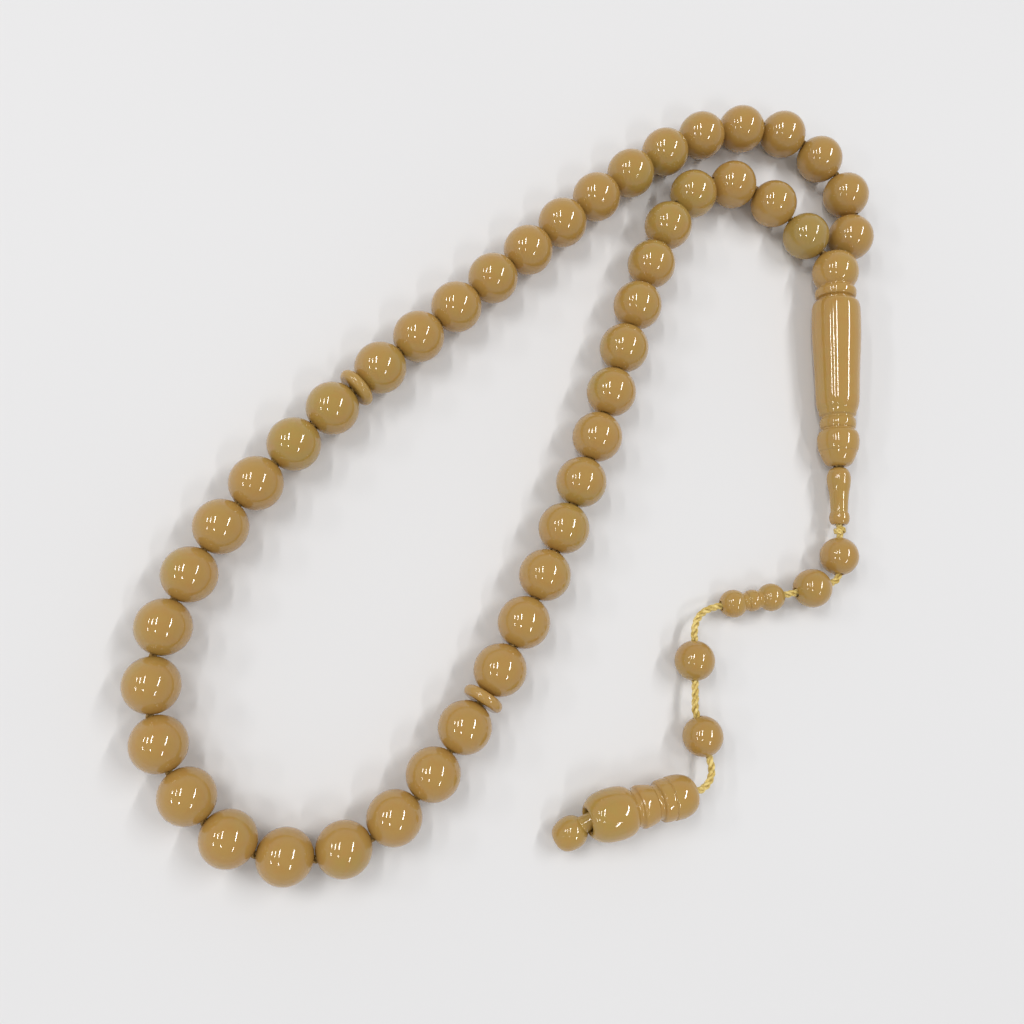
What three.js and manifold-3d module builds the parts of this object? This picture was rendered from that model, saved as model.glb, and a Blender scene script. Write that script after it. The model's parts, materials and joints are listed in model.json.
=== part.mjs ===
// Misbaha, a string of prayer beads, lying on a table. Millimetres, +Z up, X right, Y away.
//
// Round beads in three equal groups, with a flat divider disc between groups, are threaded on one loop of
// cord. Both ends of the loop enter the imame, the long turned head piece. A tassel cord runs on from it
// through a waisted stem bead, small round beads and a double bead, and ends in a turned bell with a peg.
// Every piece is turned, so each is a lathe shape with flats that are tangent to its true diameter.

import * as THREE from 'three';
import Module from 'manifold-3d';
import { mergeVertices } from 'three/addons/utils/BufferGeometryUtils.js';

const wasm = await Module();
wasm.setup();

// Main beads and divider discs
const beadDiameter = 10;
const beadGap = 0.1;
const beadsPerGroup = 15;
const groupCount = 3;
const discDiameter = 8;
const discThickness = 2.2;

// Cord, the clearance round it in every bore, and the gap between pieces that touch
const cordDiameter = 1.5;
const boreClearance = 0.35;
const cordBore = cordDiameter + 2 * boreClearance;
const touchGap = 0.3;

// Imame, the head piece
const ballDiameter = 10;
const ballMouth = 6.8;
const neckDiameter = 7.2;
const upperCollarDiameter = 8.6;
const upperCollarWidth = 2.1;
const bodyDiameter = 10.5;
const bodyEndDiameter = 9.1;
const bodyLength = 26.4;
const lowerCollarDiameter = 7.7;
const lowerCollarWidth = 2;
const lowerBallDiameter = 8.8;
const lowerBallLength = 7.8;
const grooveWidth = 0.5;
const grooveDepth = 0.35;

// Stem bead and the knot under it
const stemHeadDiameter = 5;
const stemWaistDiameter = 3.6;
const stemFootDiameter = 4.2;
const stemLength = 12.2;
const knotDiameter = 2.6;
const knotLength = 1.9;

// Small round beads and the double bead
const smallBeadDiameter = 8;
const doubleBallDiameter = 5.6;
const doubleBallSpacing = 8.2;
const doubleRingDiameter = 4.2;
const doubleRingWidth = 1.6;
const doubleNeckDiameter = 3.5;

// Bell and its peg
const domeDiameter = 8.6;
const domeLength = 5.8;
const rimWidth = 1.9;
const drumDiameter = 8.2;
const drumSmallDiameter = 7;
const drumLength = 3.4;
const bellBallDiameter = 9.9;
const bellBallLength = 9;
const bellGrooveWidth = 0.9;
const bellNeckDiameter = 6.6;
const socketDiameter = 4.4;
const socketDepth = 11;
const endKnotDiameter = 3.2;
const pegBallDiameter = 6.2;
const pegBallLength = 6.6;
const pegNeckDiameter = 2;
const pegNeckLength = 2.6;
const pegInside = 1.5;

// Flats round a turned piece, flats along half a bead, and sides of a cord
const FLATS = 12;
const ARC_STEPS = 7;
const CORD_SIDES = 8;

// Where the string lies. The loop leaves the imame's ball, goes round and comes back to it, and it is
// as long as what is strung on it.
const ballPlace = [66, 43.4];
const loopRoute = [
  [66, 43.4], [59.6, 51.6], [52, 58.4], [42, 61.6], [33, 58], [27, 49.8], [19.5, 30.5],
  [10.5, 2.4], [-0.4, -25.4], [-9, -43.2], [-15.4, -53.4], [-21.2, -61.9], [-28, -69.4],
  [-36.8, -74.7], [-47, -75.8], [-57, -72.4], [-64.2, -65], [-69.2, -56.2], [-70.8, -46], [-69.2, -36],
  [-60.2, -17.8], [-47.8, -1.8], [-32.4, 14], [-10.8, 34.2], [11, 54.4], [26.8, 67], [35.2, 72.1],
  [44.8, 75.2], [54.8, 75.6], [63.8, 71], [70.2, 62.8], [70.8, 52.8], [66, 43.4],
];

// Where the tassel lies: the corners of its cord from the bottom of the knot, in small beads' diameters,
// each with its height
const imameBearing = [-0.031, -1];
const imameFall = 0.031;
const smallBeadHeight = smallBeadDiameter / 2;
const doubleBallHeight = doubleBallDiameter / 2;
const bellHeight = bellBallDiameter / 2;
const tasselRoute = [
  [-0.15, -1.2, smallBeadHeight + 0.3],
  [-1.55, -1.5625, smallBeadHeight],
  [-3.575, -1.925, doubleBallHeight - 0.4],
  [-4.05, -2.275, doubleBallHeight],
  [-4.225, -2.675, smallBeadHeight],
  [-4.2625, -4.525, smallBeadHeight],
  [-3.875, -5.8625, smallBeadHeight],
  [-4.225, -6.375, bellHeight],
];
const bellBearing = [-0.976, -0.219];
const pegBearing = [-0.74, -0.53, -0.38];

// ---- Shapes ----

const acrossFlats = (radius) => radius / Math.cos(Math.PI / FLATS);

// A turned solid along +Y from a closed outline of (radius, along) points, its outside going up.
function turned(outline) {
  const closed = [...outline, outline[0]];
  const profile = closed.map((point) => new THREE.Vector2(acrossFlats(point.x), point.y));
  return new THREE.LatheGeometry(profile, FLATS, Math.PI / FLATS);
}

function roundBead(diameter) {
  const radius = diameter / 2;
  const mouth = Math.acos(cordBore / diameter);
  const step = (2 * mouth) / ARC_STEPS;
  const outline = [];
  for (let i = 0; i <= ARC_STEPS; i += 1) {
    const latitude = -mouth + i * step;
    const atMouth = i === 0 || i === ARC_STEPS;
    const swell = atMouth ? 1 : 1 / Math.cos(step / 2);
    outline.push(new THREE.Vector2(radius * swell * Math.cos(latitude), radius * Math.sin(latitude)));
  }
  return turned(outline);
}

// The points of a path from the bottom mouth of a piece to its top mouth, then down its bore.
function outlineOf(path, divisions = 3) {
  return path.getPoints(divisions).filter((point, i, all) => i === 0 || point.distanceTo(all[i - 1]) > 0.01);
}

function dividerDisc() {
  const bore = cordBore / 2;
  const half = discThickness / 2;
  const face = discDiameter / 2 - half;
  const path = new THREE.Path();
  path.moveTo(bore, -half);
  path.lineTo(face, -half);
  path.absarc(face, 0, half, -Math.PI / 2, Math.PI / 2);
  path.lineTo(bore, half);
  return turned(outlineOf(path, 2));
}

// Where each length of the imame ends, counted from the centre of its ball.
function imameStations() {
  const ball = ballDiameter / 2;
  const neck = Math.sqrt(ball ** 2 - (neckDiameter / 2) ** 2);
  const collar = neck + grooveWidth;
  const body = collar + upperCollarWidth + grooveWidth;
  const bodyEnd = body + bodyLength;
  const lowerCollar = bodyEnd + grooveWidth;
  const lowerBall = lowerCollar + lowerCollarWidth + grooveWidth;
  const end = lowerBall + lowerBallLength;
  return { neck, collar, body, bodyEnd, lowerCollar, lowerBall, end };
}

function imameShape() {
  const at = imameStations();
  const ball = ballDiameter / 2;
  const mouth = ballMouth / 2;
  const bore = cordBore / 2;
  const top = -Math.sqrt(ball ** 2 - mouth ** 2);
  const neck = neckDiameter / 2;
  const collar = upperCollarDiameter / 2;
  const body = bodyDiameter / 2;
  const bodyEnd = bodyEndDiameter / 2;
  const lowCollar = lowerCollarDiameter / 2;
  const lowBall = lowerBallDiameter / 2;
  const path = new THREE.Path();
  path.moveTo(mouth, top);
  path.absarc(0, 0, ball, Math.atan2(top, mouth), Math.atan2(at.neck, neck));
  path.lineTo(neck, at.collar);
  path.lineTo(collar - grooveDepth, at.collar);
  path.quadraticCurveTo(
    collar + grooveDepth, at.collar + upperCollarWidth / 2,
    collar - grooveDepth, at.collar + upperCollarWidth,
  );
  path.lineTo(collar - 2 * grooveDepth, at.body);
  path.quadraticCurveTo(body, at.body, body, at.body + body / 2);
  path.quadraticCurveTo(body, at.body + bodyLength / 2, bodyEnd, at.bodyEnd - bodyEnd);
  path.quadraticCurveTo(bodyEnd, at.bodyEnd, lowCollar, at.bodyEnd);
  path.lineTo(lowCollar - grooveDepth, at.lowerCollar);
  path.lineTo(lowCollar, at.lowerCollar + grooveDepth);
  path.lineTo(lowCollar, at.lowerBall - grooveWidth - grooveDepth);
  path.lineTo(lowCollar - grooveDepth, at.lowerBall - grooveWidth);
  path.lineTo(lowCollar, at.lowerBall);
  path.quadraticCurveTo(lowBall, at.lowerBall, lowBall, at.lowerBall + lowBall / 2);
  path.quadraticCurveTo(lowBall, at.end, bore, at.end);
  path.lineTo(bore, top + mouth - bore);
  return turned(outlineOf(path));
}

function stemShape() {
  const bore = cordBore / 2;
  const head = stemHeadDiameter / 2;
  const waist = stemWaistDiameter / 2;
  const foot = stemFootDiameter / 2;
  const footLength = stemLength / 6;
  const path = new THREE.Path();
  path.moveTo(bore, 0);
  path.absarc(0, Math.sqrt(head ** 2 - bore ** 2), head, -Math.acos(bore / head), 0);
  path.quadraticCurveTo(head, stemLength / 2 - head / 2, waist, stemLength - 2 * footLength);
  path.quadraticCurveTo(foot, stemLength - 1.5 * footLength, foot, stemLength - footLength);
  path.quadraticCurveTo(foot, stemLength, bore, stemLength);
  return turned(outlineOf(path));
}

function knotShape() {
  const bore = cordDiameter / 2 + touchGap;
  const radius = knotDiameter / 2;
  const path = new THREE.Path();
  path.moveTo(bore, 0);
  path.quadraticCurveTo(radius, 0, radius, knotLength / 2);
  path.quadraticCurveTo(radius, knotLength, bore, knotLength);
  return turned(outlineOf(path, 2));
}

function doubleBeadHalfLength() {
  const bore = cordBore / 2;
  return doubleBallSpacing / 2 + Math.sqrt((doubleBallDiameter / 2) ** 2 - bore ** 2);
}

function doubleBead() {
  const bore = cordBore / 2;
  const ball = doubleBallDiameter / 2;
  const neck = doubleNeckDiameter / 2;
  const ring = doubleRingDiameter / 2;
  const centre = doubleBallSpacing / 2;
  const mouthAngle = Math.acos(bore / ball);
  const neckAngle = Math.acos(neck / ball);
  const path = new THREE.Path();
  path.moveTo(bore, -doubleBeadHalfLength());
  path.absarc(0, -centre, ball, -mouthAngle, neckAngle);
  path.lineTo(neck, -doubleRingWidth / 2);
  path.quadraticCurveTo(2 * ring - neck, 0, neck, doubleRingWidth / 2);
  path.absarc(0, centre, ball, -neckAngle, mouthAngle);
  return turned(outlineOf(path));
}

function bellLength() {
  return domeLength + rimWidth + bellGrooveWidth + drumLength + bellGrooveWidth + bellBallLength;
}

function bellShape() {
  const bore = cordBore / 2;
  const dome = domeDiameter / 2;
  const rim = dome - grooveDepth / 2;
  const neck = bellNeckDiameter / 2;
  const drum = drumDiameter / 2;
  const socket = socketDiameter / 2;
  const ball = bellBallDiameter / 2;
  const rimEnd = domeLength + rimWidth;
  const drumStart = rimEnd + bellGrooveWidth;
  const ballStart = drumStart + drumLength + bellGrooveWidth;
  const end = bellLength();
  const path = new THREE.Path();
  path.moveTo(bore, 0);
  path.quadraticCurveTo(dome, 0, dome, domeLength / 2);
  path.lineTo(dome, domeLength - grooveDepth / 2);
  path.lineTo(dome - grooveDepth, domeLength);
  path.lineTo(rim, domeLength + grooveDepth / 2);
  path.lineTo(rim, rimEnd);
  path.lineTo(neck, rimEnd + grooveDepth);
  path.lineTo(neck, drumStart);
  path.lineTo(drumSmallDiameter / 2, drumStart);
  path.quadraticCurveTo(drum, drumStart + drumLength / 2, drum, drumStart + drumLength);
  path.lineTo(neck + grooveDepth, drumStart + drumLength);
  path.lineTo(neck + grooveDepth, ballStart);
  path.quadraticCurveTo(ball, ballStart + bellBallLength / 6, ball, ballStart + bellBallLength / 2);
  path.quadraticCurveTo(ball, end - grooveDepth, socket + grooveDepth, end);
  path.lineTo(socket, end - grooveDepth);
  path.lineTo(socket, end - socketDepth);
  path.lineTo(bore, end - socketDepth);
  return turned(outlineOf(path));
}

// The peg's solid starts at the end of its neck; its ball is past the neck.
function pegShape() {
  const neck = pegNeckDiameter / 2;
  const ball = pegBallDiameter / 2;
  const end = pegNeckLength + pegBallLength;
  const path = new THREE.Path();
  path.moveTo(0, 0);
  path.lineTo(neck, 0);
  path.lineTo(neck, pegNeckLength);
  path.quadraticCurveTo(ball, pegNeckLength + pegBallLength / 8, ball, pegNeckLength + pegBallLength / 2);
  path.quadraticCurveTo(ball, end, 0, end);
  return turned(outlineOf(path));
}

// ---- Cords ----

// A route whose points are the sections of the tube, one step from each to the next.
class Stations extends THREE.Curve {
  constructor(points) {
    super();
    this.points = points;
  }

  getPoint(t, target = new THREE.Vector3()) {
    const place = Math.min(Math.max(t, 0), 1) * (this.points.length - 1);
    const start = Math.min(Math.floor(place), this.points.length - 2);
    return target.lerpVectors(this.points[start], this.points[start + 1], place - start);
  }

  getUtoTmapping(u) {
    return u;
  }
}

function cordTube(points) {
  const radius = cordDiameter / 2;
  const section = new THREE.Shape();
  for (let i = 0; i < CORD_SIDES; i += 1) {
    const angle = (2 * Math.PI * (i + 0.5)) / CORD_SIDES;
    const move = i === 0 ? 'moveTo' : 'lineTo';
    section[move](radius * Math.cos(angle), radius * Math.sin(angle));
  }
  return new THREE.ExtrudeGeometry(section, {
    steps: points.length - 1,
    bevelEnabled: false,
    extrudePath: new Stations(points),
  });
}

// Corners eased into short curves, with the stretches between them left straight.
function eased(corners, ease) {
  const points = [corners[0]];
  for (let i = 1; i < corners.length - 1; i += 1) {
    const corner = corners[i];
    const cut = Math.min(ease, corner.distanceTo(corners[i - 1]) / 2, corner.distanceTo(corners[i + 1]) / 2);
    const before = corners[i - 1].clone().sub(corner).setLength(cut).add(corner);
    const after = corners[i + 1].clone().sub(corner).setLength(cut).add(corner);
    points.push(...new THREE.QuadraticBezierCurve3(before, corner, after).getPoints(3));
  }
  points.push(corners.at(-1));
  return points;
}

// ---- Joining with manifold ----

function solidOf(geometry) {
  const bare = geometry.clone();
  bare.deleteAttribute('normal');
  bare.deleteAttribute('uv');
  const merged = mergeVertices(bare, 1e-4);
  const vertProperties = new Float32Array(merged.attributes.position.array);
  const triVerts = new Uint32Array(merged.index.array);
  return new wasm.Manifold(new wasm.Mesh({ numProp: 3, vertProperties, triVerts }));
}

function geometryOf(solid) {
  const mesh = solid.getMesh();
  const geometry = new THREE.BufferGeometry();
  geometry.setAttribute('position', new THREE.BufferAttribute(mesh.vertProperties, mesh.numProp));
  geometry.setIndex(new THREE.BufferAttribute(mesh.triVerts, 1));
  return geometry;
}

// ---- Layout ----

// Places along a route, each a stated distance in a straight line from the one before.
function strung(route, spacings) {
  const places = [route[0]];
  let next = 1;
  for (const spacing of spacings) {
    const last = places.at(-1);
    while (next < route.length - 1 && route[next].distanceTo(last) < spacing) {
      next += 1;
    }
    const near = route[next - 1].distanceTo(last);
    const far = route[next].distanceTo(last);
    places.push(route[next - 1].clone().lerp(route[next], (spacing - near) / (far - near)));
  }
  return places;
}

// The loop's pieces in order from the imame's ball, with what each takes up.
function loopPieces() {
  const pieces = [];
  for (let group = 0; group < groupCount; group += 1) {
    if (group > 0) {
      pieces.push({ name: `divider_disc_${group}`, half: discThickness / 2, disc: true });
    }
    for (let i = 1; i <= beadsPerGroup; i += 1) {
      const number = group * beadsPerGroup + i;
      pieces.push({ name: `bead_${String(number).padStart(2, '0')}`, half: beadDiameter / 2, disc: false });
    }
  }
  return pieces;
}

// The centres of the pieces, on the route opened or closed about the ball until the last piece meets it.
function loopPlaces(pieces, ball) {
  const spacings = [ballDiameter / 2 + touchGap + pieces[0].half];
  for (let i = 1; i < pieces.length; i += 1) {
    spacings.push(pieces[i - 1].half + beadGap + pieces[i].half);
  }
  const height = beadDiameter / 2;
  const chosen = loopRoute.map(([x, y]) => new THREE.Vector3(x, y, height));
  const route = new THREE.CatmullRomCurve3(chosen, false, 'centripetal').getPoints(6000);
  const start = route[0];
  const opened = (factor) => route.map((point) => point.clone().sub(start).multiplyScalar(factor).add(start));
  let small = 0.5;
  let large = 2;
  for (let i = 0; i < 24; i += 1) {
    const middle = (small + large) / 2;
    const left = strung(opened(middle), spacings).at(-1).distanceTo(ball);
    if (left > spacings[0]) {
      large = middle;
    } else {
      small = middle;
    }
  }
  return strung(opened((small + large) / 2), spacings).slice(1);
}

// Where the loop's cord bends: outside the first piece, between each two, and outside the last. The chain
// is the pieces' centres with the two points that the cord comes from and goes to.
function bendsOf(chain) {
  const last = chain.length - 2;
  const step = (i) => chain[i + 1].clone().sub(chain[i]).normalize();
  const way = (i) => step(i - 1).add(step(i)).normalize();
  const along = (i, reach) => chain[i].clone().addScaledVector(way(i), reach);
  const outside = Math.sqrt((beadDiameter / 2) ** 2 - (cordBore / 2) ** 2) + touchGap;
  const bends = [along(1, -outside)];
  for (let i = 1; i < last; i += 1) {
    const halfTurn = way(i).angleTo(way(i + 1)) / 2;
    const reach = chain[i].distanceTo(chain[i + 1]) / 2 / Math.cos(halfTurn);
    bends.push(along(i, reach).lerp(along(i + 1, -reach), 0.5));
  }
  bends.push(along(last, outside));
  return bends;
}

// ---- The part ----

const group = new THREE.Group();
const resin = { color: 0xb98f47, roughness: 0.16, metalness: 0 };
const paleResin = { color: 0xbd944d, roughness: 0.18, metalness: 0 };
const thread = { color: 0xd9be62, roughness: 0.55, metalness: 0.15 };

function add(name, geometry, finish) {
  const mesh = new THREE.Mesh(geometry, new THREE.MeshStandardMaterial(finish));
  mesh.name = name;
  group.add(mesh);
  return mesh;
}

// Lays a turned piece with its own +Y along a direction and one flat underneath.
function lay(mesh, place, direction) {
  const along = direction.clone().normalize();
  const up = new THREE.Vector3(0, 0, 1).addScaledVector(along, -along.z).normalize();
  const side = new THREE.Vector3().crossVectors(along, up);
  mesh.quaternion.setFromRotationMatrix(new THREE.Matrix4().makeBasis(side, along, up));
  mesh.position.copy(place);
}

const stations = imameStations();
const imameWay = new THREE.Vector3(...imameBearing, -imameFall).normalize();
const ballHeight = bodyDiameter / 2 + imameFall * (stations.body + bodyLength / 4);
const ballCentre = new THREE.Vector3(...ballPlace, ballHeight);
const fromBall = (distance) => ballCentre.clone().addScaledVector(imameWay, distance);

// Loop: beads, discs and their cord
const pieces = loopPieces();
const ballOnPlan = new THREE.Vector3(...ballPlace, beadDiameter / 2);
const places = loopPlaces(pieces, ballOnPlan);
const mouthRise = Math.sqrt((ballDiameter / 2) ** 2 - (ballMouth / 2) ** 2);
const across = new THREE.Vector3(-imameWay.y, imameWay.x, 0).setLength(cordDiameter / 2 + touchGap / 2);
const aboveMouth = fromBall(-mouthRise - touchGap).setZ(beadDiameter / 2);
const mouthLeft = aboveMouth.clone().sub(across);
const mouthRight = aboveMouth.clone().add(across);
const bends = bendsOf([mouthLeft, ...places, mouthRight]);
pieces.forEach((piece, i) => {
  const geometry = piece.disc ? dividerDisc() : roundBead(beadDiameter);
  const mesh = add(piece.name, geometry, piece.disc ? paleResin : resin);
  lay(mesh, places[i], bends[i + 1].clone().sub(bends[i]));
});
add('loop_cord', cordTube([mouthLeft, ...bends, mouthRight]), thread);

// Imame, the cord through it, the stem bead and the knot
lay(add('imame', imameShape(), paleResin), ballCentre, imameWay);
const cordTop = fromBall(-mouthRise + cordDiameter / 2);
add('imame_cord', cordTube([cordTop, fromBall(stations.end)]), thread);
const stemStart = stations.end + touchGap;
const knotStart = stemStart + stemLength + touchGap;
const tasselStart = knotStart + knotLength + touchGap;
lay(add('stem_bead', stemShape(), paleResin), fromBall(stemStart), imameWay);
lay(add('stem_knot', knotShape(), thread), fromBall(knotStart), imameWay);

// Tassel cord, from the top of the stem to the knot in the bell
const tasselTop = fromBall(tasselStart);
const corners = tasselRoute.map(([x, y, z]) => {
  const along = new THREE.Vector3(x, y, 0).multiplyScalar(smallBeadDiameter);
  return along.add(tasselTop).setZ(z);
});
const bellWay = new THREE.Vector3(...bellBearing, 0).normalize();
const bellTip = corners.at(-1).clone().addScaledVector(bellWay, cordDiameter);
bellTip.z = bellHeight;
const cordEnd = bellTip.clone().addScaledVector(bellWay, bellLength() - socketDepth + endKnotDiameter / 2);
const tasselCorners = [fromBall(stemStart), tasselTop, ...corners, bellTip, cordEnd];
const endKnot = solidOf(new THREE.IcosahedronGeometry(endKnotDiameter / 2, 1));
const tasselTube = solidOf(cordTube(eased(tasselCorners, cordDiameter)));
const knotted = tasselTube.add(endKnot.translate(cordEnd.toArray()));
add('tassel_cord', geometryOf(knotted), thread);

// Small beads and the double bead: the first touches the knot, each other hangs along its stretch
function between(from, to, share) {
  return { place: from.clone().lerp(to, share), way: to.clone().sub(from) };
}
const topShare = (smallBeadDiameter / 2 + touchGap) / tasselTop.distanceTo(corners[0]);
const tasselBeads = [
  { name: 'tassel_bead_1', from: tasselTop, to: corners[0], share: topShare },
  { name: 'tassel_bead_2', from: corners[0], to: corners[1], share: 0.54 },
  { name: 'tassel_bead_3', from: corners[4], to: corners[5], share: 0.33 },
  { name: 'tassel_bead_4', from: corners[5], to: corners[6], share: 0.44 },
];
for (const bead of tasselBeads) {
  const seat = between(bead.from, bead.to, bead.share);
  lay(add(bead.name, roundBead(smallBeadDiameter), resin), seat.place, seat.way);
}
const doubleSeat = between(corners[1], corners[2], 0.5);
lay(add('double_bead', doubleBead(), paleResin), doubleSeat.place, doubleSeat.way);

// Bell and peg
lay(add('tassel_bell', bellShape(), paleResin), bellTip, bellWay);
const pegWay = new THREE.Vector3(...pegBearing).normalize();
const socketMouth = bellTip.clone().addScaledVector(bellWay, bellLength());
lay(add('bell_peg', pegShape(), paleResin), socketMouth.clone().addScaledVector(pegWay, -pegInside), pegWay);

// The part stands on Z = 0, centred on the box of everything but the cords
const standing = new THREE.Box3();
group.children
  .filter((mesh) => !mesh.name.endsWith('cord'))
  .forEach((mesh) => standing.union(new THREE.Box3().setFromObject(mesh, true)));
const middle = standing.getCenter(new THREE.Vector3());
group.position.set(-middle.x, -middle.y, -standing.min.z);

export default group;
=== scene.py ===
"""Misbaha, a string of prayer beads: the looks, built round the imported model. Metres, +Z up."""

import json
import math

import bpy
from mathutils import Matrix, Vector


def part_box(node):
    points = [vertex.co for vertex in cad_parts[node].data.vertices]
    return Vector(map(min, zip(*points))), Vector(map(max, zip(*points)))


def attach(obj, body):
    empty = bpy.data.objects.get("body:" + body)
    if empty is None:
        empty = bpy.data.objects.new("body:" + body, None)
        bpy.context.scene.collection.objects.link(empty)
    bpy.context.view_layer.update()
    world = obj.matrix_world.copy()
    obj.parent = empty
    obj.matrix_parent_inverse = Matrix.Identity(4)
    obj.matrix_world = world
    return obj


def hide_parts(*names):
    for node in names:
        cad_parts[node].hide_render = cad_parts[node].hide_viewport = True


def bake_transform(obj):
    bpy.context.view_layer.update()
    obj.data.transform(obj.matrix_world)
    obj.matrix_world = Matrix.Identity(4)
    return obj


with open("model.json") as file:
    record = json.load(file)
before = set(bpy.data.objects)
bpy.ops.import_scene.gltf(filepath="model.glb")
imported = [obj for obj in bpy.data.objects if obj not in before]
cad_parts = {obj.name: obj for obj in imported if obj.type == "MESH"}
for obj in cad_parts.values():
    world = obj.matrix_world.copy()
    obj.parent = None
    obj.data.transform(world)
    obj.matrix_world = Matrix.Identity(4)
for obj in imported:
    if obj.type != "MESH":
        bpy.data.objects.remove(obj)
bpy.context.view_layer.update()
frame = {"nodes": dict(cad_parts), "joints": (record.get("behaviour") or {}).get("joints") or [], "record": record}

MM = 0.001
JOINTS = {joint["name"]: joint for joint in frame["joints"]}
UP = Vector((0, 0, 1))

# Main beads and divider discs
BEAD_DIAMETER = 10.04
BEAD_COUNT = 45
DISC_AFTER = {15: "divider_disc_1", 30: "divider_disc_2"}
DISC_DIAMETER = 8
DISC_THICKNESS = 2.2
BORE = 1.95
MOUTH_ROUNDING = 0.12

# Imame, the head piece, with lengths counted from the centre of its ball
BALL_DIAMETER = 10
BALL_MOUTH = 6.2
IMAME_BORE = 2.2
IMAME_END = 43.77

# Stem bead and the knot under it, and the knot at the cord's end, inside the bell
STEM_HEAD = 5
STEM_WAIST = 3.7
STEM_FOOT = 4.2
STEM_LENGTH = 12.2
KNOT_DIAMETER = 2.6
KNOT_LENGTH = 1.9
KNOT_TURNS = 2.3
END_KNOT_DIAMETER = 3.2
END_KNOT_LENGTH = 2.6
END_KNOT_TURNS = 3.3

# Small round beads and the double bead
SMALL_BEAD_DIAMETER = 8
DOUBLE_BALL = 5.7
DOUBLE_SPACING = 8.2

# Bell and peg
BELL_LENGTH = 22.4
BELL_LEAD = 0.3
BELL_BALL = 9.9
SOCKET_DIAMETER = 4.4
SOCKET_DEPTH = 11
PEG_INSIDE = 1.5
PEG_NECK = 2.8
PEG_BALL = 6.2
PEG_BALL_LENGTH = 6.1

# Cord: plies laid round each other, and finer yarns laid the other way in each ply
CORD_DIAMETER = 1.5
PLIES = 3
PLY_SHARE = 1 / (1 + 2 / math.sqrt(3))
PLY_PITCH = 4.4
YARNS = 5
YARN_SHARE = 0.42
YARN_PITCH = 2.1
CORD_STEP = 0.22


# ---- Places that the frame gives ----

def joint_place(name):
    return Vector(JOINTS[name]["pos_m"])


def joint_axis(name):
    return Vector(JOINTS[name]["axis"]).normalized()


def middle_of(node):
    low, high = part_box(node)
    return (low + high) / 2


def bead_name(number):
    return f"bead_{number:02d}"


def loop_names():
    """The loop's beads and discs in the order they are strung."""
    names = []
    for number in range(1, BEAD_COUNT + 1):
        names.append(bead_name(number))
        if number in DISC_AFTER:
            names.append(DISC_AFTER[number])
    return names


BALL_CENTRE = joint_place("imame_swing")
STEM_TOP = joint_place("turn_stem_bead")
IMAME_WAY = (STEM_TOP - BALL_CENTRE).normalized()
BELL_TIP = joint_place("bell_swing")
SOCKET_MOUTH = joint_place("peg_tilt")
BELL_WAY = (SOCKET_MOUTH - BELL_TIP).normalized()


# ---- Camera ----

CAMERA_PLACE = Vector((-54.3, -51.6, 194.3)) * MM
CAMERA_TARGET = Vector((-7.0, -13.4, 5)) * MM
CAMERA_LENS = 36.2


def place_camera():
    """The top of the picture is the table's +Y."""
    data = bpy.data.cameras.new("Camera")
    data.lens = CAMERA_LENS
    data.sensor_width = 36
    data.clip_start = 0.01
    data.clip_end = 20
    camera = bpy.data.objects.new("Camera", data)
    bpy.context.scene.collection.objects.link(camera)
    forward = (CAMERA_TARGET - CAMERA_PLACE).normalized()
    right = forward.cross(Vector((0, 1, 0))).normalized()
    top = right.cross(forward)
    turn = camera.matrix_world.to_3x3()
    turn.col[0] = right
    turn.col[1] = top
    turn.col[2] = -forward
    camera.matrix_world = turn.to_4x4()
    camera.location = CAMERA_PLACE
    bpy.context.scene.camera = camera


place_camera()


# ---- Node tools ----

class Tree:
    """A node tree with short ways to add nodes and join them."""

    def __init__(self, tree):
        self.tree = tree

    def add(self, kind, inputs=None, **settings):
        node = self.tree.nodes.new(kind)
        for name, value in settings.items():
            setattr(node, name, value)
        for name, value in (inputs or {}).items():
            self.feed(node.inputs[name], value)
        return node

    def feed(self, socket, value):
        if isinstance(value, bpy.types.NodeSocket):
            self.tree.links.new(value, socket)
        else:
            socket.default_value = value

    def maths(self, operation, *values):
        node = self.add("ShaderNodeMath", operation=operation)
        for socket, value in zip(node.inputs, values):
            self.feed(socket, value)
        return node.outputs[0]

    def vectors(self, operation, *values, scale=None):
        node = self.add("ShaderNodeVectorMath", operation=operation)
        for socket, value in zip(node.inputs, values):
            self.feed(socket, value)
        if scale is not None:
            self.feed(node.inputs["Scale"], scale)
        return node.outputs[0]

    def mix(self, share, first, second):
        node = self.add("ShaderNodeMix", data_type="RGBA", clamp_factor=True)
        self.feed(node.inputs[0], share)
        self.feed(node.inputs[6], first)
        self.feed(node.inputs[7], second)
        return node.outputs[2]

    def ramp(self, value, low, high):
        """0 below low, 1 above high and smooth between."""
        node = self.add(
            "ShaderNodeMapRange",
            {"Value": value, "From Min": low, "From Max": high},
            interpolation_type="SMOOTHSTEP",
        )
        return node.outputs["Result"]


def geometry_tree(name, sockets):
    """A Geometry Nodes tree with named inputs, and its group input and output nodes."""
    group = bpy.data.node_groups.new(name, "GeometryNodeTree")
    for socket, kind in sockets:
        group.interface.new_socket(socket, in_out="INPUT", socket_type=kind)
    group.interface.new_socket("Geometry", in_out="OUTPUT", socket_type="NodeSocketGeometry")
    tree = Tree(group)
    return tree, tree.add("NodeGroupInput").outputs, tree.add("NodeGroupOutput").inputs


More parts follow.
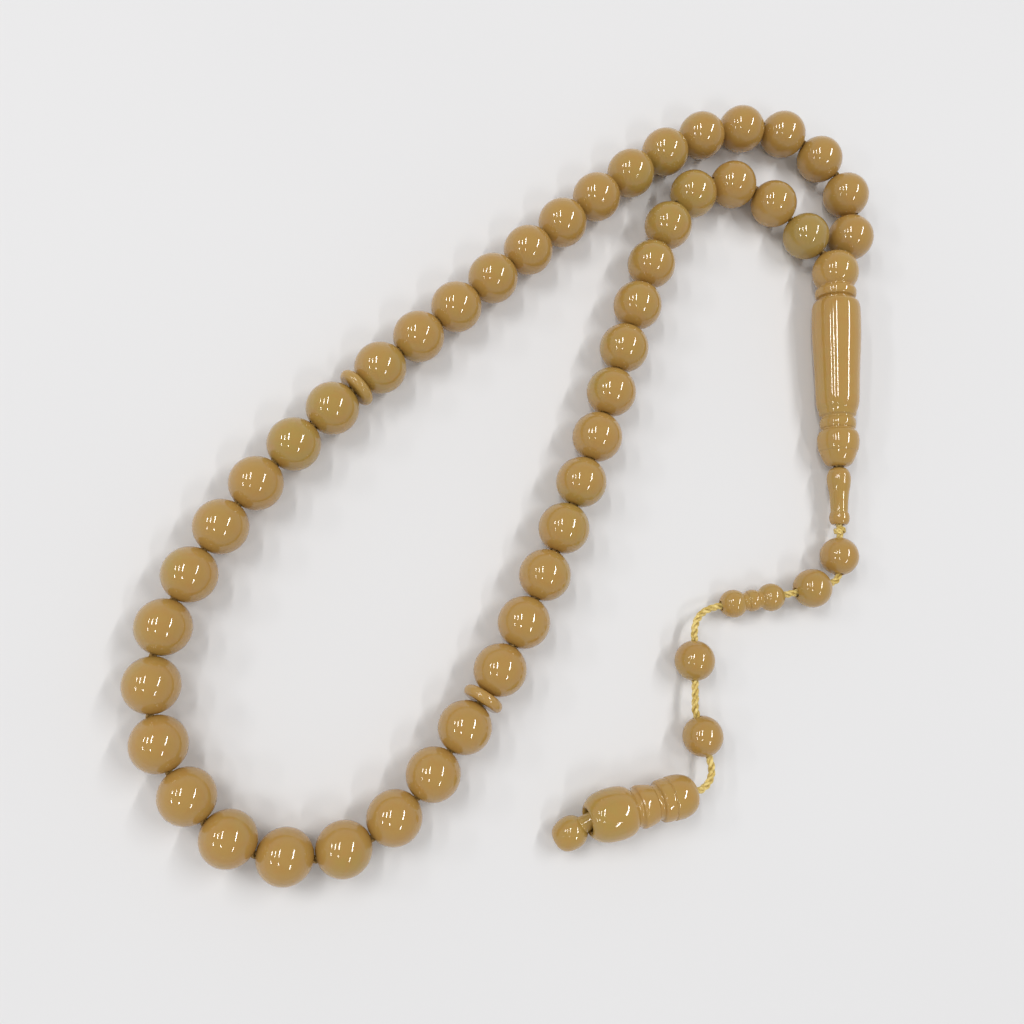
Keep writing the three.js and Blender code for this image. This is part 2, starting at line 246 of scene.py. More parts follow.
def lathe_tree():
    """Turns an outline of (radius, along) points about an axis from Place in Direction."""
    tree, given, result = geometry_tree("Turned piece", [
        ("Outline", "NodeSocketGeometry"), ("Sides", "NodeSocketInt"), ("Place", "NodeSocketVector"),
        ("Direction", "NodeSocketVector"), ("Finish", "NodeSocketMaterial"),
    ])
    size = tree.add("GeometryNodeAttributeDomainSize", {"Geometry": given["Outline"]}, component="MESH")
    rows = size.outputs["Point Count"]
    grid = tree.add("GeometryNodeMeshGrid", {
        "Size X": 1.0, "Size Y": 1.0,
        "Vertices X": tree.maths("ADD", given["Sides"], 1), "Vertices Y": rows,
    })
    across = tree.add("ShaderNodeSeparateXYZ", {"Vector": grid.outputs["UV Map"]})
    row = tree.maths("ROUND", tree.maths("MULTIPLY", across.outputs["Y"], tree.maths("SUBTRACT", rows, 1)))
    angle = tree.maths("MULTIPLY", across.outputs["X"], 2 * math.pi)
    sample = tree.add("GeometryNodeSampleIndex", data_type="FLOAT_VECTOR", domain="POINT")
    tree.feed(sample.inputs["Geometry"], given["Outline"])
    tree.feed(sample.inputs["Value"], tree.add("GeometryNodeInputPosition").outputs[0])
    tree.feed(sample.inputs["Index"], row)
    point = tree.add("ShaderNodeSeparateXYZ", {"Vector": sample.outputs["Value"]})
    place = tree.add("ShaderNodeCombineXYZ", {
        "X": tree.maths("MULTIPLY", point.outputs["X"], tree.maths("COSINE", angle)),
        "Y": tree.maths("MULTIPLY", point.outputs["X"], tree.maths("SINE", angle)),
        "Z": point.outputs["Y"],
    })
    lines = tree.add("ShaderNodeCombineXYZ", {"X": across.outputs["X"], "Y": point.outputs["Y"]})
    mapped = tree.add("GeometryNodeStoreNamedAttribute", {
        "Geometry": grid.outputs["Mesh"], "Name": "UVMap", "Value": lines.outputs[0],
    }, data_type="FLOAT2", domain="CORNER")
    turned = tree.add("GeometryNodeSetPosition", {
        "Geometry": mapped.outputs[0], "Position": place.outputs[0],
    })
    closed = tree.add("GeometryNodeMergeByDistance", {"Geometry": turned.outputs[0], "Distance": 1e-6})
    smooth = tree.add("GeometryNodeSetShadeSmooth", {"Geometry": closed.outputs[0], "Shade Smooth": True})
    aligned = tree.add("FunctionNodeAlignRotationToVector", {"Vector": given["Direction"]}, axis="Z")
    moved = tree.add("GeometryNodeTransform", {
        "Geometry": smooth.outputs[0], "Translation": given["Place"], "Rotation": aligned.outputs[0],
    })
    real = tree.add("GeometryNodeRealizeInstances", {"Geometry": moved.outputs[0]})
    finished = tree.add("GeometryNodeSetMaterial", {
        "Geometry": real.outputs[0], "Material": given["Finish"],
    })
    tree.feed(result["Geometry"], finished.outputs[0])
    return tree.tree


def strands(tree, curve, count, reach, pitch):
    """Copies a curve count times and winds the copies round it at a distance, a turn every pitch."""
    copies = tree.add("GeometryNodeDuplicateElements", {
        "Geometry": curve, "Amount": count,
    }, domain="SPLINE")
    along = tree.add("GeometryNodeSplineParameter").outputs["Length"]
    start = tree.maths("DIVIDE", copies.outputs["Duplicate Index"], count)
    turns = tree.maths("ADD", start, tree.maths("DIVIDE", along, pitch))
    angle = tree.maths("MULTIPLY", turns, 2 * math.pi)
    normal = tree.add("GeometryNodeInputNormal").outputs[0]
    tangent = tree.add("GeometryNodeInputTangent").outputs[0]
    side = tree.vectors("CROSS_PRODUCT", tangent, normal)
    offset = tree.vectors(
        "ADD",
        tree.vectors("SCALE", normal, scale=tree.maths("MULTIPLY", tree.maths("COSINE", angle), reach)),
        tree.vectors("SCALE", side, scale=tree.maths("MULTIPLY", tree.maths("SINE", angle), reach)),
    )
    wound = tree.add("GeometryNodeSetPosition", {"Geometry": copies.outputs["Geometry"], "Offset": offset})
    return wound.outputs[0]


def cord_tree():
    """Lays plies round a line, and yarns round each ply, as one closed tube for each yarn."""
    tree, given, result = geometry_tree("Twisted cord", [
        ("Line", "NodeSocketGeometry"), ("Step", "NodeSocketFloat"), ("Plies", "NodeSocketInt"),
        ("Ply Reach", "NodeSocketFloat"), ("Ply Pitch", "NodeSocketFloat"), ("Yarns", "NodeSocketInt"),
        ("Yarn Reach", "NodeSocketFloat"), ("Yarn Pitch", "NodeSocketFloat"),
        ("Yarn Radius", "NodeSocketFloat"), ("Yarn Sides", "NodeSocketInt"),
        ("Finish", "NodeSocketMaterial"),
    ])
    even = tree.add("GeometryNodeResampleCurve", {
        "Curve": given["Line"], "Length": given["Step"],
    }, mode="LENGTH")
    plies = strands(tree, even.outputs[0], given["Plies"], given["Ply Reach"], given["Ply Pitch"])
    yarns = strands(tree, plies, given["Yarns"], given["Yarn Reach"], given["Yarn Pitch"])
    section = tree.add("GeometryNodeCurvePrimitiveCircle", {
        "Resolution": given["Yarn Sides"], "Radius": given["Yarn Radius"],
    })
    tube = tree.add("GeometryNodeCurveToMesh", {
        "Curve": yarns, "Profile Curve": section.outputs["Curve"], "Fill Caps": True,
    })
    smooth = tree.add("GeometryNodeSetShadeSmooth", {"Geometry": tube.outputs[0], "Shade Smooth": True})
    real = tree.add("GeometryNodeRealizeInstances", {"Geometry": smooth.outputs[0]})
    finished = tree.add("GeometryNodeSetMaterial", {
        "Geometry": real.outputs[0], "Material": given["Finish"],
    })
    tree.feed(result["Geometry"], finished.outputs[0])
    return tree.tree


def made_with(source, tree, name, values):
    """The plain mesh that a tree makes of a source object, as a new object; the source goes."""
    modifier = source.modifiers.new("Nodes", "NODES")
    modifier.node_group = tree
    for socket in tree.interface.items_tree:
        if socket.in_out == "INPUT" and socket.name in values:
            modifier[socket.identifier] = values[socket.name]
    bpy.context.view_layer.update()
    graph = bpy.context.evaluated_depsgraph_get()
    mesh = bpy.data.meshes.new_from_object(source.evaluated_get(graph), depsgraph=graph)
    mesh.name = name
    bpy.data.objects.remove(source)
    piece = bpy.data.objects.new(name, mesh)
    bpy.context.scene.collection.objects.link(piece)
    return piece


# ---- Materials ----

def shader_group(name, inputs, outputs):
    group = bpy.data.node_groups.new(name, "ShaderNodeTree")
    for socket, kind, value in inputs:
        made = group.interface.new_socket(socket, in_out="INPUT", socket_type=kind)
        made.default_value = value
    for socket, kind in outputs:
        group.interface.new_socket(socket, in_out="OUTPUT", socket_type=kind)
    tree = Tree(group)
    return tree, tree.add("NodeGroupInput").outputs, tree.add("NodeGroupOutput").inputs


def cloudy_resin_group():
    """Cast resin: a ground colour, slow clouds from bead to bead, and fine swirls in each piece."""
    tree, given, result = shader_group(
        "Cloudy resin",
        [
            ("Ground", "NodeSocketColor", (0.5, 0.3, 0.07, 1)),
            ("Warm", "NodeSocketColor", (0.5, 0.25, 0.05, 1)),
            ("Olive", "NodeSocketColor", (0.4, 0.3, 0.06, 1)),
            ("Polish", "NodeSocketFloat", 0.1),
        ],
        [("Color", "NodeSocketColor"), ("Roughness", "NodeSocketFloat"), ("Height", "NodeSocketFloat")],
    )
    where = tree.add("ShaderNodeTexCoord").outputs["Object"]
    cloud = tree.add("ShaderNodeTexNoise", {"Vector": where, "Scale": 55.0, "Detail": 1.0})
    swirl = tree.add("ShaderNodeTexNoise", {
        "Vector": where, "Scale": 330.0, "Detail": 3.0, "Roughness": 0.5, "Distortion": 1.6,
    })
    vein = tree.add("ShaderNodeTexNoise", {
        "Vector": where, "Scale": 150.0, "Detail": 2.0, "Roughness": 0.4, "Distortion": 2.6,
    })
    wear = tree.add("ShaderNodeTexNoise", {"Vector": where, "Scale": 1900.0, "Detail": 3.0})
    orange = tree.maths("MULTIPLY", tree.ramp(swirl.outputs["Fac"], 0.45, 0.7), 0.5)
    green = tree.maths("MULTIPLY", tree.ramp(cloud.outputs["Fac"], 0.48, 0.72), 0.7)
    streak = tree.maths("MULTIPLY", tree.ramp(vein.outputs["Fac"], 0.52, 0.66), 0.35)
    colour = tree.mix(green, given["Ground"], given["Olive"])
    colour = tree.mix(orange, colour, given["Warm"])
    colour = tree.mix(streak, colour, given["Warm"])
    tree.feed(result["Color"], colour)
    rub = tree.maths("MULTIPLY", tree.ramp(wear.outputs["Fac"], 0.4, 0.75), 0.03)
    tree.feed(result["Roughness"], tree.maths("ADD", given["Polish"], rub))
    tree.feed(result["Height"], tree.maths("MULTIPLY", swirl.outputs["Fac"], 0.5))
    return tree.tree


def new_material(name):
    material = bpy.data.materials.new(name)
    material.use_nodes = True
    tree = Tree(material.node_tree)
    return material, tree, material.node_tree.nodes["Principled BSDF"]


def resin_material(name, resin, ground, warm, olive, turning_lines):
    """Polished resin. Where turning_lines is above 0, it also has faint lines round the piece's axis."""
    material, tree, shader = new_material(name)
    body = tree.add("ShaderNodeGroup", node_tree=resin)
    tree.feed(body.inputs["Ground"], ground)
    tree.feed(body.inputs["Warm"], warm)
    tree.feed(body.inputs["Olive"], olive)
    tree.feed(body.inputs["Polish"], 0.05)
    height = body.outputs["Height"]
    if turning_lines:
        uv = tree.add("ShaderNodeUVMap", uv_map="UVMap").outputs["UV"]
        along = tree.add("ShaderNodeSeparateXYZ", {"Vector": uv}).outputs["Y"]
        lines = tree.add("ShaderNodeTexNoise", {
            "W": along, "Scale": 4200.0, "Detail": 2.0,
        }, noise_dimensions="1D")
        height = tree.maths("ADD", height, tree.maths("MULTIPLY", lines.outputs["Fac"], turning_lines))
    bump = tree.add("ShaderNodeBump", {"Height": height, "Strength": 0.07, "Distance": 0.00004})
    tree.feed(shader.inputs["Base Color"], body.outputs["Color"])
    tree.feed(shader.inputs["Roughness"], body.outputs["Roughness"])
    tree.feed(shader.inputs["Normal"], bump.outputs["Normal"])
    shader.inputs["IOR"].default_value = 1.54
    shader.inputs["Coat Weight"].default_value = 0.35
    shader.inputs["Coat Roughness"].default_value = 0.03
    return material


def thread_material(name, dark, light):
    """Thread with a soft sheen, which goes from a dark tone to a light one from place to place."""
    material, tree, shader = new_material(name)
    where = tree.add("ShaderNodeTexCoord").outputs["Object"]
    tone = tree.add("ShaderNodeTexNoise", {"Vector": where, "Scale": 900.0, "Detail": 2.0})
    fibre = tree.add("ShaderNodeTexNoise", {"Vector": where, "Scale": 6000.0, "Detail": 2.0})
    share = tree.ramp(tone.outputs["Fac"], 0.35, 0.68)
    colour = tree.mix(share, dark, light)
    tree.feed(shader.inputs["Base Color"], colour)
    rough = tree.maths("ADD", 0.36, tree.maths("MULTIPLY", fibre.outputs["Fac"], 0.2))
    tree.feed(shader.inputs["Roughness"], rough)
    bump = tree.add("ShaderNodeBump", {
        "Height": fibre.outputs["Fac"], "Strength": 0.5, "Distance": 0.00003,
    })
    tree.feed(shader.inputs["Normal"], bump.outputs["Normal"])
    shader.inputs["Metallic"].default_value = 0.15
    shader.inputs["Sheen Weight"].default_value = 0.3
    shader.inputs["Sheen Roughness"].default_value = 0.4
    return material


def paper_material():
    """White paper with a barely uneven tone."""
    material, tree, shader = new_material("white_paper")
    where = tree.add("ShaderNodeTexCoord").outputs["Object"]
    tone = tree.add("ShaderNodeTexNoise", {"Vector": where, "Scale": 9.0, "Detail": 2.0})
    colour = tree.mix(tone.outputs["Fac"], (0.76, 0.755, 0.755, 1), (0.79, 0.785, 0.783, 1))
    tree.feed(shader.inputs["Base Color"], colour)
    shader.inputs["Roughness"].default_value = 0.75
    return material


RESIN = cloudy_resin_group()
BEAD_RESIN = resin_material(
    "polished_bead_resin", RESIN, ground=(0.43, 0.255, 0.066, 1), warm=(0.435, 0.232, 0.058, 1),
    olive=(0.385, 0.262, 0.06, 1), turning_lines=0,
)
TURNED_RESIN = resin_material(
    "polished_turned_resin", RESIN, ground=(0.45, 0.268, 0.07, 1), warm=(0.455, 0.247, 0.062, 1),
    olive=(0.4, 0.265, 0.062, 1), turning_lines=1.2,
)
OLIVE_RESIN = resin_material(
    "polished_olive_resin", RESIN, ground=(0.375, 0.25, 0.064, 1), warm=(0.41, 0.245, 0.06, 1),
    olive=(0.32, 0.245, 0.062, 1), turning_lines=0,
)
THREAD = thread_material("golden_thread", dark=(0.6, 0.42, 0.09, 1), light=(0.9, 0.72, 0.27, 1))
# The same golden thread as the tassel's, darkened to paint the shade that the loop's cord lies in between the
# beads.
PAINTED_SHADE_THREAD = thread_material("painted_shade_thread", dark=(0.3, 0.17, 0.04, 1), light=(0.4, 0.24, 0.06, 1))
LATHE = lathe_tree()
TWIST = cord_tree()


# ---- Cords ----

def twisted_cord(name, route, yarns=YARNS, thick=CORD_DIAMETER, finish=THREAD):
    """A laid cord along a route of points. With one yarn, each ply is a single round strand."""
    curve = bpy.data.curves.new(name, "CURVE")
    curve.dimensions = "3D"
    spline = curve.splines.new("POLY")
    spline.points.add(len(route) - 1)
    for point, place in zip(spline.points, route):
        point.co = (*place, 1)
    source = bpy.data.objects.new(name, curve)
    bpy.context.scene.collection.objects.link(source)
    ply = PLY_SHARE * thick / 2
    yarn = ply if yarns == 1 else ply * YARN_SHARE
    return made_with(source, TWIST, name, {
        "Step": CORD_STEP * MM,
        "Plies": PLIES,
        "Ply Reach": (thick / 2 - ply) * MM,
        "Ply Pitch": PLY_PITCH * thick / CORD_DIAMETER * MM,
        "Yarns": yarns,
        "Yarn Reach": (ply - yarn) * MM,
        "Yarn Pitch": -YARN_PITCH * MM,
        "Yarn Radius": yarn * MM,
        "Yarn Sides": 10 if yarns == 1 else 6,
        "Finish": finish,
    })


def bridge(start, start_way, end, end_way, steps):
    """Points of one even bend from a start to an end, leaving and arriving in the ways given."""
    reach = (end - start).length * 0.42
    first = start + start_way * reach
    second = end - end_way * reach
    points = []
    for i in range(1, steps):
        t = i / steps
        s = 1 - t
        points.append(start * s**3 + first * 3 * s * s * t + second * 3 * s * t * t + end * t**3)
    return points


def threaded(stretches, steps):
    """A route through straight stretches, each a (start, end), joined by even bends of so many steps."""
    points = []
    for i, (start, end) in enumerate(stretches):
        way = (end - start).normalized()
        if i > 0:
            before = stretches[i - 1]
            points += bridge(before[1], (before[1] - before[0]).normalized(), start, way, steps)
        points += [start, (start + end) / 2, end]
    return points


def through(place, way, before, after):
    """A straight stretch that starts before a place and ends after it."""
    return place - way * before * MM, place + way * after * MM


# ---- Outlines of the turned pieces ----

class Outline:
    """A closed outline of (radius, along) points in millimetres: the outside, then back by the bore."""

    def __init__(self, radius, along):
        self.points = [Vector((radius, along))]

    def to(self, radius, along):
        self.points.append(Vector((radius, along)))
        return self

    def curve(self, control, end, steps=10):
        start = self.points[-1].copy()
        control = Vector(control)
        end = Vector(end)
        for i in range(1, steps + 1):
            t = i / steps
            self.points.append(start * (1 - t) ** 2 + control * 2 * t * (1 - t) + end * t * t)
        return self

    def arc(self, centre, radius, start, end, steps=36):
        """An arc about a point (radius, along), between two angles from the outward direction."""
        for i in range(steps + 1):
            angle = start + (end - start) * i / steps
            turn = Vector((math.cos(angle), math.sin(angle)))
            self.points.append(Vector(centre) + turn * radius)
        return self

    def softened(self, size, sharpest=math.radians(20)):
        """Rounds each corner over a small distance."""
        points = [p for i, p in enumerate(self.points) if (p - self.points[i - 1]).length > 0.004]
        soft = []
        for i, corner in enumerate(points):
            back = points[i - 1] - corner
            ahead = points[(i + 1) % len(points)] - corner
            if back.angle(-ahead) < sharpest:
                soft.append(corner)
                continue
            first = corner + back * min(size / back.length, 0.45)
            last = corner + ahead * min(size / ahead.length, 0.45)
            for step in range(5):
                t = step / 4
                soft.append(first * (1 - t) ** 2 + corner * 2 * t * (1 - t) + last * t * t)
        self.points = soft
        return self


def round_bead(diameter):
    radius = diameter / 2
    bore = BORE / 2
    lean = math.acos(bore / radius)
    return Outline(bore, -radius * math.sin(lean)).arc((0, 0), radius, -lean, lean).softened(MOUTH_ROUNDING)


def divider_disc():
    half = DISC_THICKNESS / 2
    face = DISC_DIAMETER / 2 - half
    outline = Outline(BORE / 2, -half)
    outline.arc((face, 0), half, -math.pi / 2, math.pi / 2, steps=24)
    return outline.to(BORE / 2, half).softened(MOUTH_ROUNDING)


def imame():
    """Ball, collar, long tapered body, lower collar and lower ball, with a groove between each two."""
    ball = BALL_DIAMETER / 2
    mouth = BALL_MOUTH / 2
    bore = IMAME_BORE / 2
    top = -math.sqrt(ball**2 - mouth**2)
    outline = Outline(bore, top + 1.4 + mouth - bore).to(mouth - 0.05, top + 1.4).to(mouth, top)
    outline.arc((0, 0), ball, math.atan2(top, mouth), math.atan2(3.46, 3.6))
    outline.to(3.6, 3.75).to(3.95, 3.9).curve((4.5, 4.3), (4.4, 5.1)).curve((4.35, 6.1), (3.75, 6.2))
    outline.to(3.5, 6.45).to(3.55, 6.9).to(4.2, 7.0)
    outline.curve((5.0, 7.05), (5.14, 8.6)).curve((5.34, 13.2), (4.96, 19.2), steps=16)
    outline.curve((4.72, 23.4), (4.62, 28.0), steps=16).curve((4.58, 30.6), (3.98, 31.6))
    outline.to(3.8, 32.6).to(3.4, 32.95).to(3.42, 33.35).to(3.62, 33.5)
    outline.curve((3.95, 34.5), (3.62, 35.45)).to(3.42, 35.6).to(3.5, 35.95)
    outline.curve((4.42, 36.3), (4.4, 38.2)).curve((4.36, 39.7), (3.98, 40.55), steps=8)
    outline.to(3.86, 40.62).curve((3.4, 42.2), (2.9, 42.9)).curve((2.4, IMAME_END), (bore, IMAME_END))
    return outline.softened(0.14)


def stem_bead():
    """A pear-shaped head that narrows to a waist and flares again at the foot."""
    bore = BORE / 2
    head = STEM_HEAD / 2
    outline = Outline(bore, 0).curve((head - 0.1, 0.1), (head, 2.3))
    outline.curve((head, 3.5), (2.12, 5.0))
    outline.curve((STEM_WAIST / 2 + 0.04, 6.4), (STEM_WAIST / 2 - 0.08, 9.5))
    outline.curve((STEM_FOOT / 2 - 0.05, 9.9), (STEM_FOOT / 2, 10.6), steps=8)
    outline.curve((STEM_FOOT / 2 + 0.05, STEM_LENGTH - 0.5), (STEM_FOOT / 2 - 0.6, STEM_LENGTH), steps=8)
    return outline.to(bore, STEM_LENGTH).softened(0.12)


def double_bead():
    """Two balls with a ring between them."""
    bore = BORE / 2
    ball = DOUBLE_BALL / 2
    centre = DOUBLE_SPACING / 2
    mouth = math.acos(bore / ball)
    neck = math.acos(1.8 / ball)
    outline = Outline(bore, -centre - ball * math.sin(mouth))
    outline.arc((0, -centre), ball, -mouth, neck, steps=28)
    outline.to(1.8, -1.15).to(2.0, -1.0).curve((2.2, -0.7), (2.2, 0), steps=8)
    outline.curve((2.2, 0.7), (2.0, 1.0), steps=8).to(1.8, 1.15)
    return outline.arc((0, centre), ball, -neck, mouth, steps=28).softened(0.16)


def bell():
    """Dome with a fine groove over its rim, a flaring drum, and a large ball with the peg's socket."""
    bore = BORE / 2
    socket = SOCKET_DIAMETER / 2
    ball = BELL_BALL / 2
    outline = Outline(bore, 0.1).curve((3.0, 0.2), (3.75, 1.95)).curve((4.22, 2.95), (4.24, 4.3))
    outline.to(4.2, 5.5).to(3.92, 5.7).to(4.1, 5.9).curve((4.14, 6.65), (4.0, 7.5), steps=6)
    outline.curve((3.9, 7.9), (3.3, 8.0), steps=6).to(3.24, 8.3).to(3.3, 8.9)
    outline.curve((3.66, 9.05), (3.72, 9.6), steps=6).curve((4.04, 10.65), (4.1, 11.55))
    outline.curve((4.1, 12.2), (3.7, 12.3), steps=6).to(3.55, 12.55).to(3.55, 13.1).to(3.8, 13.45)
    outline.curve((ball, 14.2), (ball, 17.0), steps=16).curve((ball, 20.3), (3.8, 21.5), steps=16)
    outline.curve((3.2, BELL_LENGTH), (socket + 0.35, BELL_LENGTH), steps=8)
    outline.to(socket, BELL_LENGTH - 0.35).to(socket, BELL_LENGTH - SOCKET_DEPTH)
    return outline.to(bore, BELL_LENGTH - SOCKET_DEPTH).softened(0.14)


def peg():
    """A tapered neck and a slightly flattened ball; lengths are counted from the neck's inner end."""
    ball = PEG_BALL / 2
    end = PEG_NECK + PEG_BALL_LENGTH
    outline = Outline(0, 0).to(1.25, 0).curve((1.45, 1.3), (1.65, PEG_NECK), steps=8)
    outline.curve((ball, PEG_NECK + 0.9), (ball, PEG_NECK + PEG_BALL_LENGTH * 0.45), steps=14)
    outline.curve((ball - 0.1, end - 0.5), (1.3, end - 0.1), steps=14).curve((0.6, end), (0, end), steps=5)
    return outline.softened(0.12)


# ---- Pieces ----

def body_with(node):
    bodies = frame["record"]["behaviour"]["bodies"]
    return next(body for body, nodes in bodies.items() if node in nodes)


def turned_piece(name, node, outline, place, way, finish, sides=72):
    """A turned piece that stands for a CAD node and rides on the node's body."""
    points = [(p.x * MM, p.y * MM, 0) for p in outline.points]
    points.append(points[0])
    mesh = bpy.data.meshes.new(name)
    mesh.from_pydata(points, [], [])
    source = bpy.data.objects.new(name, mesh)
    bpy.context.scene.collection.objects.link(source)
    piece = made_with(source, LATHE, name, {
        "Sides": sides, "Place": place, "Direction": way, "Finish": finish,
    })
    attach(piece, body_with(node))
    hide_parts(node)


def ridden_cord(piece, node):
    """A cord that stands for a CAD node and rides on the node's body."""
    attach(piece, body_with(node))
    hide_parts(node)
    return piece


# The loop's cord: out of the imame's ball, through every bead and disc, and back into the ball

MOUTH_RISE = math.sqrt((BALL_DIAMETER / 2) ** 2 - (BALL_MOUTH / 2) ** 2)
MOUTH_ROOM = BALL_MOUTH / 2 - CORD_DIAMETER
CORD_INSIDE = 0.4
BEAD_STRAIGHT = BEAD_DIAMETER * 0.42
DISC_STRAIGHT = DISC_THICKNESS * 0.2


def into_mouth(name, sense):
    """Where a bead's axis, followed forwards or back, comes inside the ball's mouth, clear of its rim."""
    place = joint_place(f"turn_{name}")
    way = joint_axis(f"turn_{name}") * sense
    mouth = BALL_CENTRE - IMAME_WAY * (MOUTH_RISE - CORD_INSIDE) * MM
    aside = place + way * ((mouth - place).dot(IMAME_WAY) / way.dot(IMAME_WAY)) - mouth
    return mouth + aside.normalized() * min(aside.length, MOUTH_ROOM * MM)


def loop_route():
    """Straight through each bead and disc, with an even bend from each to the next."""
    names = loop_names()
    stretches = []
    for name in names:
        half = DISC_STRAIGHT if name in DISC_AFTER.values() else BEAD_STRAIGHT
        stretches.append(through(joint_place(f"turn_{name}"), joint_axis(f"turn_{name}"), half, half))
    return [into_mouth(names[0], -1), *threaded(stretches, 8), into_mouth(names[-1], 1)]


LOOP_ROUTE = loop_route()
# The loop's cord takes the darkened thread: painted shade for the crevices between the beads and discs.
loop_cord = ridden_cord(twisted_cord("loop_thread", LOOP_ROUTE, yarns=1, finish=PAINTED_SHADE_THREAD), "loop_cord")

# The cord inside the imame, from just inside the ball's mouth to just short of the stem

IMAME_ROUTE = [
    BALL_CENTRE - IMAME_WAY * (MOUTH_RISE - 1) * MM,
    BALL_CENTRE + IMAME_WAY * IMAME_END / 2 * MM,
    STEM_TOP - IMAME_WAY * 0.5 * MM,
]
imame_cord = ridden_cord(twisted_cord("imame_thread", IMAME_ROUTE, yarns=1), "imame_cord")

# The tassel's cord: through the stem bead and its knot, the small beads and the double bead, into the bell

KNOT_MIDDLE = middle_of("stem_knot")
TASSEL_PIECES = [
    # node, joint, and how far the cord runs straight before and after the piece's middle
    ("tassel_bead_1", "turn_tassel_bead_1", 3.2, 3.6),
    ("tassel_bead_2", "turn_tassel_bead_2", 3.6, 3.6),
    ("double_bead", "turn_double_bead", 6.6, 6.6),
    ("tassel_bead_3", "tassel_bead_3_slide", 5.0, 7.2),
    ("tassel_bead_4", "tassel_bead_4_slide", 4.4, 5.0),
]
END_KNOT_DEPTH = BELL_LENGTH - BELL_LEAD - SOCKET_DEPTH + 1.6
TIP_STRAIGHT = 0.2


def tassel_route():
    """From the stem's top, straight through each piece, to the end knot in the bell's socket."""
    stretches = [(STEM_TOP, KNOT_MIDDLE + IMAME_WAY * KNOT_LENGTH * 0.6 * MM)]
    for node, joint, before, after in TASSEL_PIECES:
        stretches.append(through(middle_of(node), joint_axis(joint), before, after))
    stretches.append(through(BELL_TIP, BELL_WAY, TIP_STRAIGHT, END_KNOT_DEPTH))
    return threaded(stretches, 14)


TASSEL_ROUTE = tassel_route()
tassel_cord = twisted_cord("tassel_thread", TASSEL_ROUTE)
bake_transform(tassel_cord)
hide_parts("tassel_cord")


def wound(middle, way, radius, length, turns):
    """A route that winds round a line and draws in at its two ends."""
    side = way.cross(UP).normalized()
    top = side.cross(way)
    points = []
    steps = round(turns * 24)
    for i in range(steps + 1):
        share = i / steps
        angle = share * turns * 2 * math.pi
        pinch = 1 - 0.45 * (2 * abs(share - 0.5)) ** 6
        out = (side * math.cos(angle) + top * math.sin(angle)) * radius * pinch
        points.append(middle + (out + way * (share - 0.5) * length) * MM)
    return points


def knot(name, middle, way, diameter, length, turns):
    """A wound knot of thinner cord round the main one."""
    thick = length / turns * 0.95
    route = wound(middle, way, (diameter - thick) / 2, length - thick, turns)
    return twisted_cord(name, route, yarns=1, thick=thick)


stem_knot = ridden_cord(
    knot("stem_knot_thread", KNOT_MIDDLE, IMAME_WAY, KNOT_DIAMETER, KNOT_LENGTH, KNOT_TURNS), "stem_knot",
)
end_knot = knot(
    "end_knot_thread", TASSEL_ROUTE[-1] - BELL_WAY * 1.2 * MM, BELL_WAY,
    END_KNOT_DIAMETER, END_KNOT_LENGTH, END_KNOT_TURNS,
)
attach(end_knot, "bell")

# Beads and discs of the loop, the first bead from a greener piece of resin

LOOP_RESIN = {bead_name(1): OLIVE_RESIN}
for loop_name in loop_names():
    is_disc = loop_name in DISC_AFTER.values()
    turned_piece(
        f"turned_{loop_name}" if is_disc else f"round_{loop_name}",
        loop_name,
        divider_disc() if is_disc else round_bead(BEAD_DIAMETER),
        joint_place(f"turn_{loop_name}"),
        joint_axis(f"turn_{loop_name}"),
        LOOP_RESIN.get(loop_name, TURNED_RESIN if is_disc else BEAD_RESIN),
        sides=64,
    )

# Imame, stem bead and tassel

turned_piece(
    "turned_imame", "imame", imame(), BALL_CENTRE, IMAME_WAY, TURNED_RESIN, sides=96,
)
turned_piece("turned_stem", "stem_bead", stem_bead(), STEM_TOP, IMAME_WAY, TURNED_RESIN)
for tassel_node, tassel_joint, *_ in TASSEL_PIECES:
    is_double = tassel_node == "double_bead"
    turned_piece(
        "turned_double_bead" if is_double else f"round_{tassel_node}",
        tassel_node,
        double_bead() if is_double else round_bead(SMALL_BEAD_DIAMETER),
        middle_of(tassel_node),
        joint_axis(tassel_joint),
        TURNED_RESIN if is_double else BEAD_RESIN,
    )
turned_piece(
    "turned_bell", "tassel_bell", bell(), BELL_TIP - BELL_WAY * BELL_LEAD * MM, BELL_WAY,
    TURNED_RESIN, sides=96,
)


def peg_way():
    """From the socket's mouth towards the middle of the CAD peg's vertices, which is on its axis."""
    vertices = frame["nodes"]["bell_peg"].data.vertices
    middle = sum((v.co for v in vertices), Vector()) / len(vertices)
    return (middle - SOCKET_MOUTH).normalized()


PEG_WAY = peg_way()
turned_piece(
    "turned_peg", "bell_peg", peg(), SOCKET_MOUTH - PEG_WAY * PEG_INSIDE * MM, PEG_WAY,
    TURNED_RESIN,
)


# ---- Table and light ----

PAPER_SIZE = 3


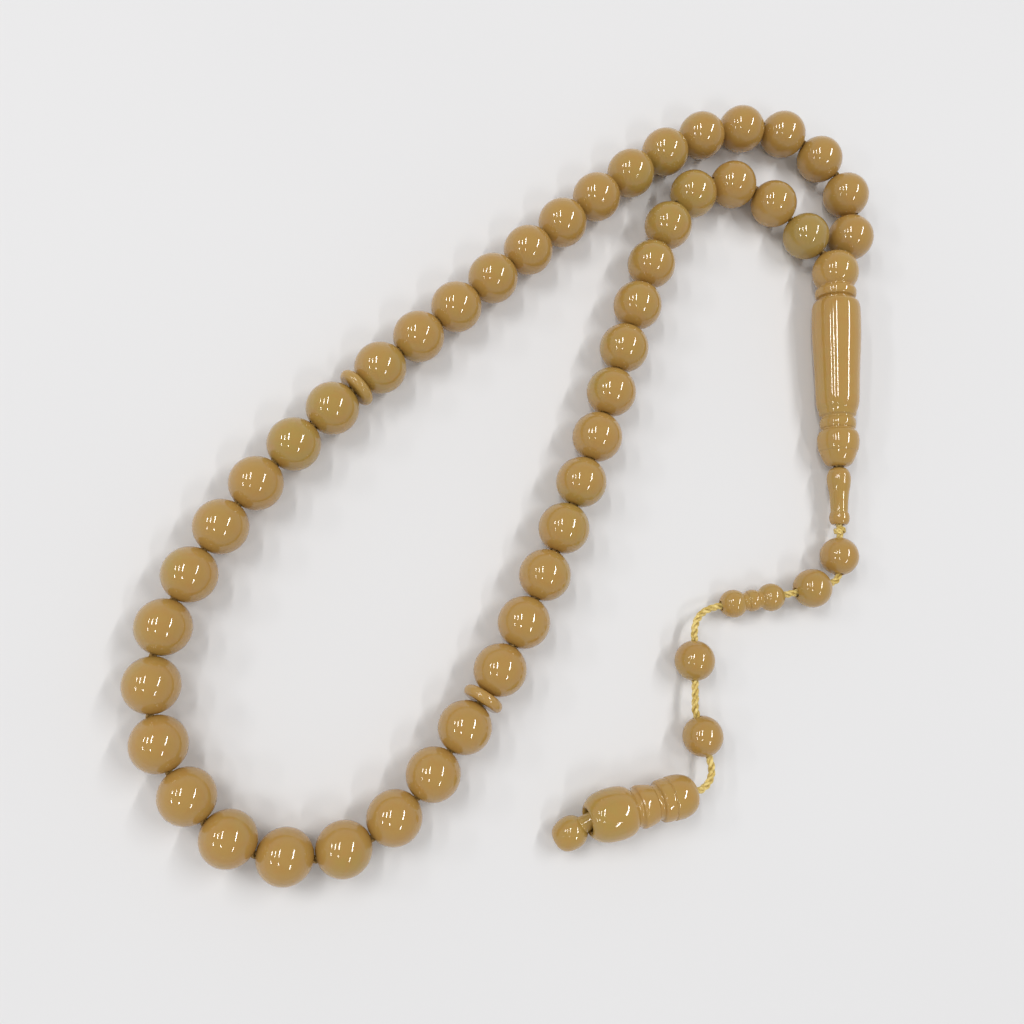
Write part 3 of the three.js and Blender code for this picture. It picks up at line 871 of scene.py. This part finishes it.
def lay_paper():
    mesh = bpy.data.meshes.new("paper")
    half = PAPER_SIZE / 2
    corners = [(-half, -half, 0), (half, -half, 0), (half, half, 0), (-half, half, 0)]
    mesh.from_pydata(corners, [], [(0, 1, 2, 3)])
    mesh.materials.append(paper_material())
    paper = bpy.data.objects.new("paper", mesh)
    bpy.context.scene.collection.objects.link(paper)


CEILING = 1.6
STRIP_GLOW = 30
STRIPS = [
    # across, away and length as shares of the ceiling's height, then width and turn
    ("right", 0.62, 0.30, 0.84, 0.07, -20),
    ("front", 0.38, -0.76, 0.42, 0.06, -4),
    ("left", -0.47, 0.38, 0.60, 0.055, -2),
    ("left_front", -0.52, -0.44, 0.16, 0.06, 0),
    ("middle_left", -0.88, 0.34, 0.50, 0.06, 0),
    ("far_left", -1.50, 0.52, 0.46, 0.11, 0),
    ("near_left", -1.50, -0.42, 0.34, 0.10, 0),
]


def hang_strips():
    """Long ceiling lamps, each with the same glow for its size."""
    for name, across, away, length, width, turn in STRIPS:
        light = bpy.data.lights.new(f"strip_{name}", "AREA")
        light.shape = "RECTANGLE"
        light.size = width * CEILING
        light.size_y = length * CEILING
        light.energy = STRIP_GLOW * math.pi * light.size * light.size_y
        lamp = bpy.data.objects.new(light.name, light)
        lamp.location = Vector((across, away, 1)) * CEILING
        lamp.rotation_euler.z = math.radians(turn)
        bpy.context.scene.collection.objects.link(lamp)


def light_room():
    """A room that is bright round the table and darker overhead."""
    world = bpy.data.worlds.new("Room")
    world.use_nodes = True
    tree = Tree(world.node_tree)
    way = tree.add("ShaderNodeTexCoord").outputs["Generated"]
    height = tree.add("ShaderNodeSeparateXYZ", {"Vector": way}).outputs["Z"]
    overhead = tree.ramp(height, 0.15, 0.75)
    colour = tree.mix(overhead, (0.58, 0.58, 0.585, 1), (0.29, 0.292, 0.3, 1))
    background = world.node_tree.nodes["Background"]
    tree.feed(background.inputs["Color"], colour)
    background.inputs["Strength"].default_value = 1
    bpy.context.scene.world = world
    bpy.context.scene.view_settings.view_transform = "Standard"


lay_paper()
hang_strips()
light_room()
